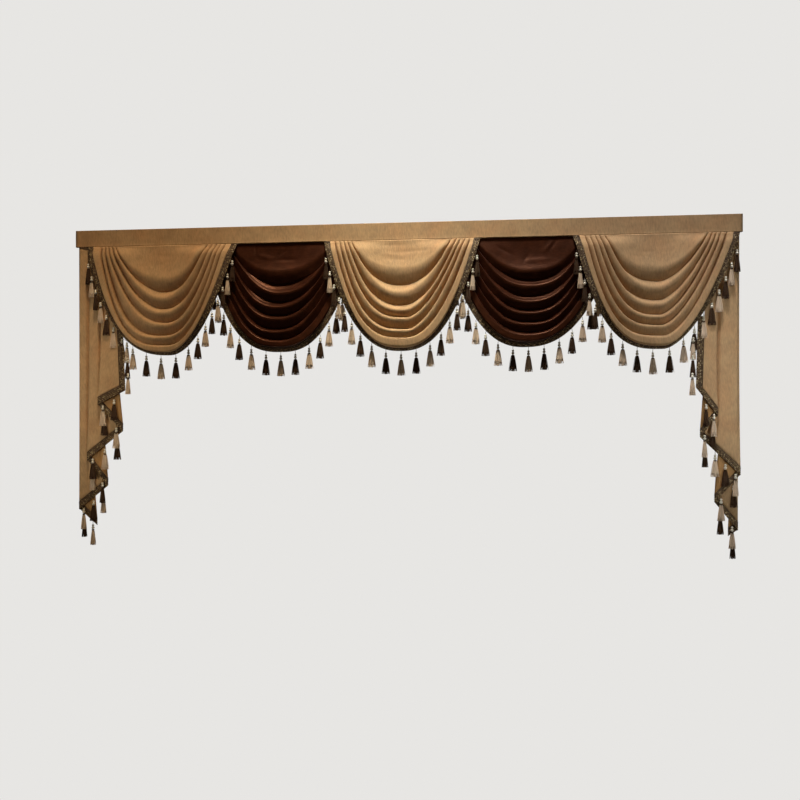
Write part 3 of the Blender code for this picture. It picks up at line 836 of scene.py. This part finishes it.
def cord_grower(yarn):
    """A tree that makes cords of their paths, with a whipping at each end."""
    tree = Grower("cords", Cord=0.0010, Whipping=0.0068, Whipping_height=0.0060, Yarn=yarn)
    line = tree.node("MeshToCurve", Mesh=tree.entry)
    wide = tree.given("Whipping")
    knot = tree.node("MeshUVSphere", Segments=12, Rings=6, Radius=1.0)
    ends = tree.node("SeparateGeometry", Geometry=tree.entry, Selection=tree.mark("end"),
                     domain="POINT")
    knots = tree.placed(ends, knot, scale=tree.vector(wide, wide, tree.given("Whipping height") / 2))
    return tree.end(tree.joined(tree.tube(line, 5, tree.given("Cord")), knots), "Yarn")


def plait_grower(thread):
    """A tree that lays the plait's stitches on the tape."""
    tree = Grower("plait", Tape=None, Length=0.0090, Width=0.0048, Height=0.0034, Thread=thread)
    stitch = tree.node("MeshIcoSphere", Radius=0.5, Subdivisions=1)
    size = tree.vector(*(tree.given(name) for name in ("Length", "Width", "Height")))
    turn = tree.node("FunctionNodeEulerToRotation", tree.mark("turn", "FLOAT_VECTOR"))
    tape = tree.node("ObjectInfo", Object=tree.given("Tape"), output="Geometry")
    return tree.end(tree.joined(tape, tree.placed(tree.entry, stitch, turn, size)), "Thread")


# ---- heading band ----
BAND_STEPS, BAND_ROWS = 200, 7
BAND_ROUNDING = 0.0014
BAND_BEVEL = 0.3  # a rounding's middle is this share of it from either side
BAND_WAVE = 0.0005  # the stiffened cloth is this uneven,
BAND_WAVES = ((9.0, 0.0, 1.0), (23.0, 1.0, 0.6))  # in waves: radians a metre, start and share
HEM_RIDGE = 0.0007  # the band's lower edge is turned up, so it stands this far proud,
HEM_RIDGE_HEIGHT = 0.0060  # above this


def band_rings():
    """Sections of the heading band and its turned-up hem."""
    low, high = BAND_LOW, BAND_HIGH
    turn, ease, depth = BAND_ROUNDING, BAND_ROUNDING * BAND_BEVEL, high.y - low.y
    hem = low.z + HEM_RIDGE_HEIGHT
    edge = [(turn, low.z), (ease, low.z + ease), (0.0, low.z + turn)]
    front = edge + [(HEM_RIDGE / 2, (low.z + turn + hem) / 2)]
    front += [(HEM_RIDGE, z) for z in np.linspace(hem, high.z - turn * 2, BAND_ROWS)]
    front += [(HEM_RIDGE, high.z - turn), (ease * 2, high.z - ease), (turn * 1.4, high.z)]
    back = [(depth - turn, high.z), (depth - ease, high.z - ease), (depth, high.z - turn)]
    section = np.array(front + back + [(depth - y, z) for y, z in reversed(edge)])
    rings = []
    for x in np.linspace(low.x, high.x, BAND_STEPS + 1):
        wave = BAND_WAVE * sum(share * sin(turns * x + start) for turns, start, share in BAND_WAVES)
        sway = wave * np.sin(pi * (section[:, 1] - low.z) / (high.z - low.z))
        y = low.y + section[:, 0] + np.where(section[:, 0] < depth / 2, sway + BAND_WAVE, 0.0)
        rings.append(np.stack((np.full(len(section), x), y, section[:, 1]), axis=1))
    return np.array(rings)[:, ::-1]


# ---- finishes ----
def tinted(color, factor):
    """A colour made lighter or darker."""
    return tuple(part * factor for part in color[:3]) + (1.0,)


def shades(color, *stops):
    """A ramp's stops: one colour, lighter or darker."""
    return [(place, tinted(color, factor)) for place, factor in stops]


def chenille(name, color):
    """Chenille: uneven ribs across a mottled pile, with painted shade deep in the folds."""
    finish = Finish(name, "UV", Roughness=0.85, Sheen_Weight=0.08, Sheen_Roughness=0.5,
                    Sheen_Tint=(1.0, 0.80, 0.55, 1.0), Specular_IOR_Level=0.2)
    ribs = finish.noise(stretch=(150.0, 45.0, 1.0), turn=0.35)
    pile = finish.noise(600.0)
    mottle = finish.noise(15.0, detail=3.0, roughness=0.6)
    blotch = finish.noise(8.0, detail=1.0)
    tone = finish.node("ValToRGB", ribs * 0.5 + mottle * 0.5,
                       stops=shades(color, (0.36, 0.84), (0.50, 1.0), (0.64, 1.14)))
    tone = finish.mix((blotch - 0.42) * 1.6, tone, finish.mix(1.0, tone, (1.02, 0.86, 0.78, 1.0), "MULTIPLY"))
    # painted shade: the chenille's colour is darkened where the cloth lies deep in a fold
    deep = finish.mix(1.0, tone, (0.42, 0.35, 0.30, 1.0), "MULTIPLY")
    return finish.set(Base_Color=finish.mix(finish.mark("crevice"), tone, deep),
                      Normal=finish.bump(ribs * 0.75 + pile * 0.25, 0.0012))


def satin(name, color):
    """Satin: a close, glossy weave with faint slubs."""
    finish = Finish(name, "UV", Roughness=0.39, Specular_IOR_Level=0.39, Sheen_Weight=0.03,
                    Specular_Tint=(1.0, 0.36, 0.14, 1.0), Sheen_Tint=(1.0, 0.45, 0.25, 1.0))
    slubs = finish.noise(stretch=(30.0, 420.0, 1.0))
    soft = finish.noise(22.0, detail=3.0)
    tone = finish.node("ValToRGB", slubs * 0.4 + soft * 0.6,
                       stops=shades(color, (0.34, 0.55), (0.52, 1.0), (0.68, 1.6)))
    return finish.set(Base_Color=tone, Normal=finish.bump(slubs * 0.3 + soft * 0.7, 0.0014))


def plait_thread(name):
    """Braid thread: brown, olive or gold by each stitch's tone."""
    finish = Finish(name, "Object", Specular_IOR_Level=0.45)
    tone = finish.mark("tone")
    fibre = finish.noise(1400.0)
    color = finish.node("ValToRGB", tone * 0.9 + fibre * 0.1, stops=(
        (0.0, (0.055, 0.028, 0.011, 1.0)), (0.35, (0.13, 0.072, 0.028, 1.0)),
        (0.62, (0.22, 0.135, 0.052, 1.0)), (0.82, (0.38, 0.25, 0.10, 1.0)),
        (0.96, (0.75, 0.56, 0.28, 1.0))))
    return finish.set(Base_Color=color, Roughness=0.75 - tone * 0.3, Normal=finish.bump(fibre, 0.0006))


def tassel_yarn(name, dark, pale):
    """Tassel yarn, dark or pale, with lighter and darker strands."""
    finish = Finish(name, "Object", Roughness=0.55, Sheen_Weight=0.10, Sheen_Tint=(1.0, 0.78, 0.55, 1.0),
                    Specular_IOR_Level=0.30, Specular_Tint=(1.0, 0.85, 0.65, 1.0))
    mark = finish.mark("pale")
    strands = finish.noise(stretch=(420.0, 420.0, 26.0))
    low = finish.mix(mark, tinted(dark, 0.40), tinted(pale, 0.70))
    return finish.set(Base_Color=finish.mix((strands - 0.30) * 2.2, low, finish.mix(mark, dark, pale)),
                      Normal=finish.bump(strands, 0.0005))


def gilt(name):
    """Beads: pale gold, slightly cloudy."""
    finish = Finish(name, "Object", Metallic=0.1, Coat_Weight=1.0, Coat_Roughness=0.06)
    cloud = finish.noise(260.0)
    return finish.set(Base_Color=finish.mix(cloud, (0.90, 0.76, 0.50, 1.0), (1.0, 0.94, 0.80, 1.0)),
                      Roughness=cloud * 0.25 + 0.16)


# ---- what a user changes ----
LENGTH = {"unit": "LENGTH", "min": 0.0002, "precision": 4}
COLOR = {"subtype": "COLOR", "size": 4, "min": 0.0, "max": 1.0}


def setting(name, description, default, **options):
    """A number or colour that a user may change."""
    kind = bpy.props.IntProperty if isinstance(default, int) else bpy.props.FloatProperty
    if isinstance(default, tuple):
        kind, default, options = bpy.props.FloatVectorProperty, default + (1.0,), COLOR
    return kind(name=name, description=description, default=default, **options)


class DrapeCloth(bpy.types.PropertyGroup):
    """The cloths' thicknesses and colours."""

    swag_thickness: setting("Swag cloth", "Thickness of the swags' cloth", 0.0016, **LENGTH)
    tail_thickness: setting("Tail cloth", "Thickness of the tails' cloth", 0.0011, **LENGTH)
    beige: setting("Beige", "Colour of the chenille", (0.56, 0.347, 0.168))
    chocolate: setting("Chocolate", "Colour of the satin", (0.036, 0.0092, 0.0037))
    lining: setting("Reverse", "Colour of the tails' reverse side", (0.50, 0.27, 0.10))


class DrapeTrim(bpy.types.PropertyGroup):
    """The braid and the tassels."""

    dark_yarn: setting("Dark yarn", "Colour of the dark tassels", (0.085, 0.036, 0.014))
    pale_yarn: setting("Pale yarn", "Colour of the pale tassels", (1.0, 0.76, 0.52))
    strands: setting("Strands", "Strands of yarn in one tassel", 54, min=8, max=120)
    bead: setting("Bead", "Radius of each tassel's larger bead", 0.0066, **LENGTH)
    skirt: setting("Skirt", "Length of each tassel's skirt", 0.0700, **LENGTH)
    seed: setting("Seed", "Which of many like patterns the yarn takes", 7, min=0)


class DrapeStage(bpy.types.PropertyGroup):
    """The floor and the light."""

    floor_level: setting("Floor", "Height of the floor", -2.2, unit="LENGTH")
    power: setting("Light", "All lamps' power, as a share of the usual", 1.0, min=0.0)
    surround: setting("Surround", "Strength of the light from all round", 0.012, min=0.0)


# ---- operators ----
BAND_PIECE = "band_cloth"
SETTINGS = {"drape_cloth": DrapeCloth, "drape_trim": DrapeTrim, "drape_stage": DrapeStage}
FINISHES = {  # each finish's maker, and where its colours are set
    "ribbed_chenille": (chenille, "cloth", "beige"),
    "slubbed_satin": (satin, "cloth", "chocolate"),
    "tail_reverse": (chenille, "cloth", "lining"),
    "braid_thread": (plait_thread, "trim"),
    "tassel_yarn": (tassel_yarn, "trim", "dark_yarn", "pale_yarn"),
    "gilt_beads": (gilt, "trim"),
}


def settings(group):
    """One group of the scene's settings."""
    return getattr(bpy.context.scene, "drape_" + group)


def finish_named(name):
    """A finish, made when it is first asked for."""
    maker, group, *colors = FINISHES[name]
    return bpy.data.materials.get(name) or maker(name, *(tuple(getattr(settings(group), color))
                                                         for color in colors))


def each(of_swag, of_tail):
    """Each swag's and tail's name, and what these make of it."""
    return [(swag.name, of_swag(swag)) for swag in SWAGS] + [(tail.name, of_tail(tail)) for tail in TAILS]


def put_on(item, slot, *nodes):
    """Fix a finished piece to the drape, in place of its solids."""
    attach(item, "root")
    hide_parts(*nodes)


def add_cloth(node, grid, thickness, slot, *finishes):
    """One cloth of the drape."""
    name = node + "_cloth"
    mesh = cloth_mesh(name, grid, [finish_named(finish) for finish in finishes])
    if thickness == "swag_thickness":
        # the swags keep the share of painted shade that each point gets in their folds
        keep(mesh, "crevice", painted_shade_in_folds(grid).ravel())
    item = new_object(name, mesh)
    body = item.modifiers.new("thickness", "SOLIDIFY")
    body.thickness = getattr(settings("cloth"), thickness)
    body.offset = 0.0
    body.material_offset = len(finishes) - 1
    put_on(item, slot, node)


class DRAPE_OT_heading_band(bpy.types.Operator):
    """Make the flat heading band that every cloth is sewn to"""

    bl_idname = "drape.heading_band"
    bl_label = "Heading band"

    def execute(self, context):
        mesh = swept_mesh(BAND_PIECE, band_rings(), finish_named("ribbed_chenille"))
        flat = [mesh.vertices[loop.vertex_index].co.xz for loop in mesh.loops]
        mesh.uv_layers.new(name="cloth").data.foreach_set("uv", np.ravel(flat))
        put_on(new_object(BAND_PIECE, mesh), "beige_chenille", "heading_band")
        return {"FINISHED"}


class DRAPE_OT_swags(bpy.types.Operator):
    """Drape the five swags, the beige ones over the dark ones"""

    bl_idname = "drape.swags"
    bl_label = "Swags"

    def execute(self, context):
        for swag in SWAGS:
            slot, finish = (("beige_chenille", "ribbed_chenille") if swag.layer is FRONT
                            else ("chocolate_satin", "slubbed_satin"))
            add_cloth(swag.name, swag_grid(swag), "swag_thickness", slot, finish)
        return {"FINISHED"}


class DRAPE_OT_tails(bpy.types.Operator):
    """Hang the two pleated tails"""

    bl_idname = "drape.tails"
    bl_label = "Tails"

    def execute(self, context):
        for tail in TAILS:
            add_cloth(tail.name, tail_grid(tail)[:, ::tail.side], "tail_thickness", "beige_chenille",
                      "ribbed_chenille", "tail_reverse")
        return {"FINISHED"}


class DRAPE_OT_braids(bpy.types.Operator):
    """Sew the plaited braid along every hem"""

    bl_idname = "drape.braids"
    bl_label = "Braids"

    def execute(self, context):
        thread = finish_named("braid_thread")
        plait = plait_grower(thread)
        draws = np.random.default_rng(settings("trim").seed)
        for name, trim in each(swag_trim, tail_trim):
            tape = new_object("tape", swept_mesh("tape", tape_rings(trim), thread))
            points, turns = plait_places(trim)
            marks = {"turn": turns, "tone": draws.random(len(points))}
            item = plait.grow("braid_" + name, points, marks, Tape=tape)
            bpy.data.objects.remove(tape)
            put_on(item, "braid", "fringe_" + name)
        return {"FINISHED"}


class DRAPE_OT_tassels(bpy.types.Operator):
    """Hang a beaded tassel from every stop of each braid"""

    bl_idname = "drape.tassels"
    bl_label = "Tassels"

    def execute(self, context):
        trim = settings("trim")
        yarn = finish_named("tassel_yarn")
        skirts, beads, cords = skirt_grower(yarn), bead_grower(finish_named("gilt_beads")), cord_grower(yarn)
        for name, tassels in each(swag_tassels, tail_tassels):
            roots, starts, widths, pale = (np.array(column) for column in zip(*tassels))
            item = skirts.grow("skirts_" + name, starts, {"pale": pale, "flare": widths / 2},
                               Strands=trim.strands, Length=trim.skirt, Seed=trim.seed)
            put_on(item, "braid")
            put_on(beads.grow("beads_" + name, starts, {}, Lower_bead=trim.bead), "braid")
            path = np.stack([roots] + [starts - (0, 0, drop) for drop in CORD_DROPS], axis=1)
            count = path.shape[1]
            corner = np.arange(len(path) * count)
            end = corner % count == count - 1
            edges = [(first, first + 1) for first in corner[~end].tolist()]
            marks = {"end": end.astype(float), "pale": np.zeros(len(end))}
            put_on(cords.grow("cords_" + name, path, marks, edges), "braid")
        return {"FINISHED"}


class DRAPE_OT_cut_sizes(bpy.types.Operator):
    """Work out what size each cloth was cut to before it was hung, without keeping the sizes"""

    bl_idname = "drape.cut_sizes"
    bl_label = "Cut sizes"

    def execute(self, context):
        for name, grid in each(swag_grid, tail_grid):
            width = run_along(grid, 1)[:, -1].max()
            length = run_along(grid, 0)[-1].max()
            corners = np.cross(np.diff(grid, axis=0)[:, :-1], np.diff(grid, axis=1)[:-1])
        return {"FINISHED"}


class DRAPE_OT_stage(bpy.types.Operator):
    """Lay the floor, set the lights and place the camera"""

    bl_idname = "drape.stage"
    bl_label = "Stage"

    def execute(self, context):
        stage = settings("stage")
        scene = context.scene
        scene.view_settings.view_transform = "Standard"
        lay_floor(stage.floor_level)
        light_surround(scene, stage.surround)
        for lamp in LAMPS:
            add_light(lamp, stage.power)
        eye = bpy.data.cameras.new("camera")
        eye.lens, eye.sensor_width, eye.shift_y = LENS, SENSOR, SHIFT_UP
        camera = new_object("camera", eye)
        camera.location = EYE
        camera.rotation_euler = EYE_TURN
        scene.camera = camera
        return {"FINISHED"}


# ---- stage ----
LENS, SENSOR, SHIFT_UP = 31.5, 36.0, 0.0391  # the first two in millimetres
EYE = (0.2936, -3.1391, -0.9364)
EYE_TURN = (radians(90.0), 0.0, radians(4.996))
FLOOR_SIZE = 60.0
PALE = (0.80, 0.79, 0.77, 1.0)
FILL = (1.0, 0.95, 0.92, 1.0)  # what little light comes from all round is warm

# Soft lamps above, in front of and behind the drape, each aimed at a point. spread is in degrees.
Lamp = namedtuple("Lamp", "name place target wide high spread power color")
LAMPS = (
    Lamp("over_left", (-0.60, -1.35, 2.90), (-1.08, 0.0, -0.30), 0.5, 0.35, 46, 4.5, (1.0, 0.77, 0.52)),
    Lamp("over_middle", (0.04, -1.20, 3.00), (0.03, 0.0, -0.28), 0.5, 0.3, 32, 5.1, (1.0, 1.0, 0.92)),
    Lamp("over_right", (0.70, -1.25, 2.90), (1.14, 0.0, -0.30), 0.5, 0.35, 46, 5.9, (0.94, 0.94, 1.0)),
    Lamp("low_left", (-1.85, -1.60, -0.75), (-1.43, 0.0, -0.80), 0.3, 1.0, 34, 0.54, (1.0, 0.96, 0.85)),
    Lamp("low_right", (1.90, -1.60, -0.70), (1.46, 0.0, -0.78), 0.3, 1.0, 34, 0.8, (0.87, 0.94, 1.0)),
    Lamp("front", (0.05, -3.60, 0.20), (0.0, 0.0, -0.40), 1.6, 0.8, 90, 1.5, (1.0, 0.88, 0.74)),
    Lamp("behind", (0.0, 3.40, 1.60), (0.0, 0.0, -0.50), 2.4, 0.8, 100, 14.0, (1.0, 0.95, 0.88)),
)


def lay_floor(level):
    """A wide pale floor, lit evenly as far as the eye can see."""
    half = FLOOR_SIZE / 2
    mesh = bpy.data.meshes.new("floor")
    corners = [(x, y, level) for x, y in ((-half, -half), (half, -half), (half, half), (-half, half))]
    mesh.from_pydata(corners, [], [range(4)])
    finish = Finish("pale_floor", Base_Color=PALE, Roughness=0.9)
    seen = finish.node("LightPath", output="Is Camera Ray")
    glow = finish.node("Emission", Color=PALE)
    both = finish.node("MixShader", seen, Wire(finish, finish.shader.outputs[0]), glow)
    finish.feed(finish.tree.nodes["Material Output"].inputs["Surface"], both)
    mesh.materials.append(finish.material)
    new_object("floor", mesh)


def light_surround(scene, strength):
    """A pale background that lights the drape only weakly."""
    world = bpy.data.worlds.new("surround")
    world.use_nodes = True
    tree = Tree(world.node_tree)
    seen = tree.node("LightPath", output="Is Camera Ray")
    background = world.node_tree.nodes["Background"]
    tree.feed(background.inputs["Color"], tree.mix(seen, FILL, PALE))
    tree.feed(background.inputs["Strength"], seen * (1.0 - strength) + strength)
    scene.world = world


def add_light(lamp, share):
    """One of the stage's lamps."""
    light = bpy.data.lights.new(lamp.name, "AREA")
    light.shape = "RECTANGLE"
    light.size, light.size_y = lamp.wide, lamp.high
    light.spread = radians(lamp.spread)
    light.energy = lamp.power * share
    light.color = lamp.color
    item = new_object(lamp.name, light)
    item.visible_camera = False
    item.location = lamp.place
    item.rotation_euler = (Vector(lamp.target) - Vector(lamp.place)).to_track_quat("-Z", "Y").to_euler()


# ---- panel and run ----
OPERATORS = (DRAPE_OT_heading_band, DRAPE_OT_swags, DRAPE_OT_tails, DRAPE_OT_braids, DRAPE_OT_tassels,
             DRAPE_OT_cut_sizes, DRAPE_OT_stage)


class DRAPE_PT_pieces(bpy.types.Panel):
    """The drape's settings and the buttons that make its pieces"""

    bl_idname = "DRAPE_PT_pieces"
    bl_label = "Swag and tail drape"
    bl_space_type = "VIEW_3D"
    bl_region_type = "UI"
    bl_category = "Drape"

    def draw(self, context):
        for name in SETTINGS:
            group = getattr(context.scene, name)
            box = self.layout.box()
            for key in group.__annotations__:
                box.prop(group, key)
        for operator in OPERATORS:
            self.layout.operator(operator.bl_idname)


CLASSES = tuple(SETTINGS.values()) + OPERATORS + (DRAPE_PT_pieces,)


def register():
    """Make the settings, operators and panel known."""
    for item in CLASSES:
        bpy.utils.register_class(item)
    for name, group in SETTINGS.items():
        setattr(bpy.types.Scene, name, bpy.props.PointerProperty(type=group))


def unregister():
    """Take them away again."""
    for name in SETTINGS:
        delattr(bpy.types.Scene, name)
    for item in reversed(CLASSES):
        bpy.utils.unregister_class(item)


def main():
    """Make every piece in order."""
    register()
    for step in ("heading_band", "swags", "tails", "braids", "tassels", "cut_sizes", "stage"):
        getattr(bpy.ops.drape, step)()


if __name__ == "__main__":
    main()
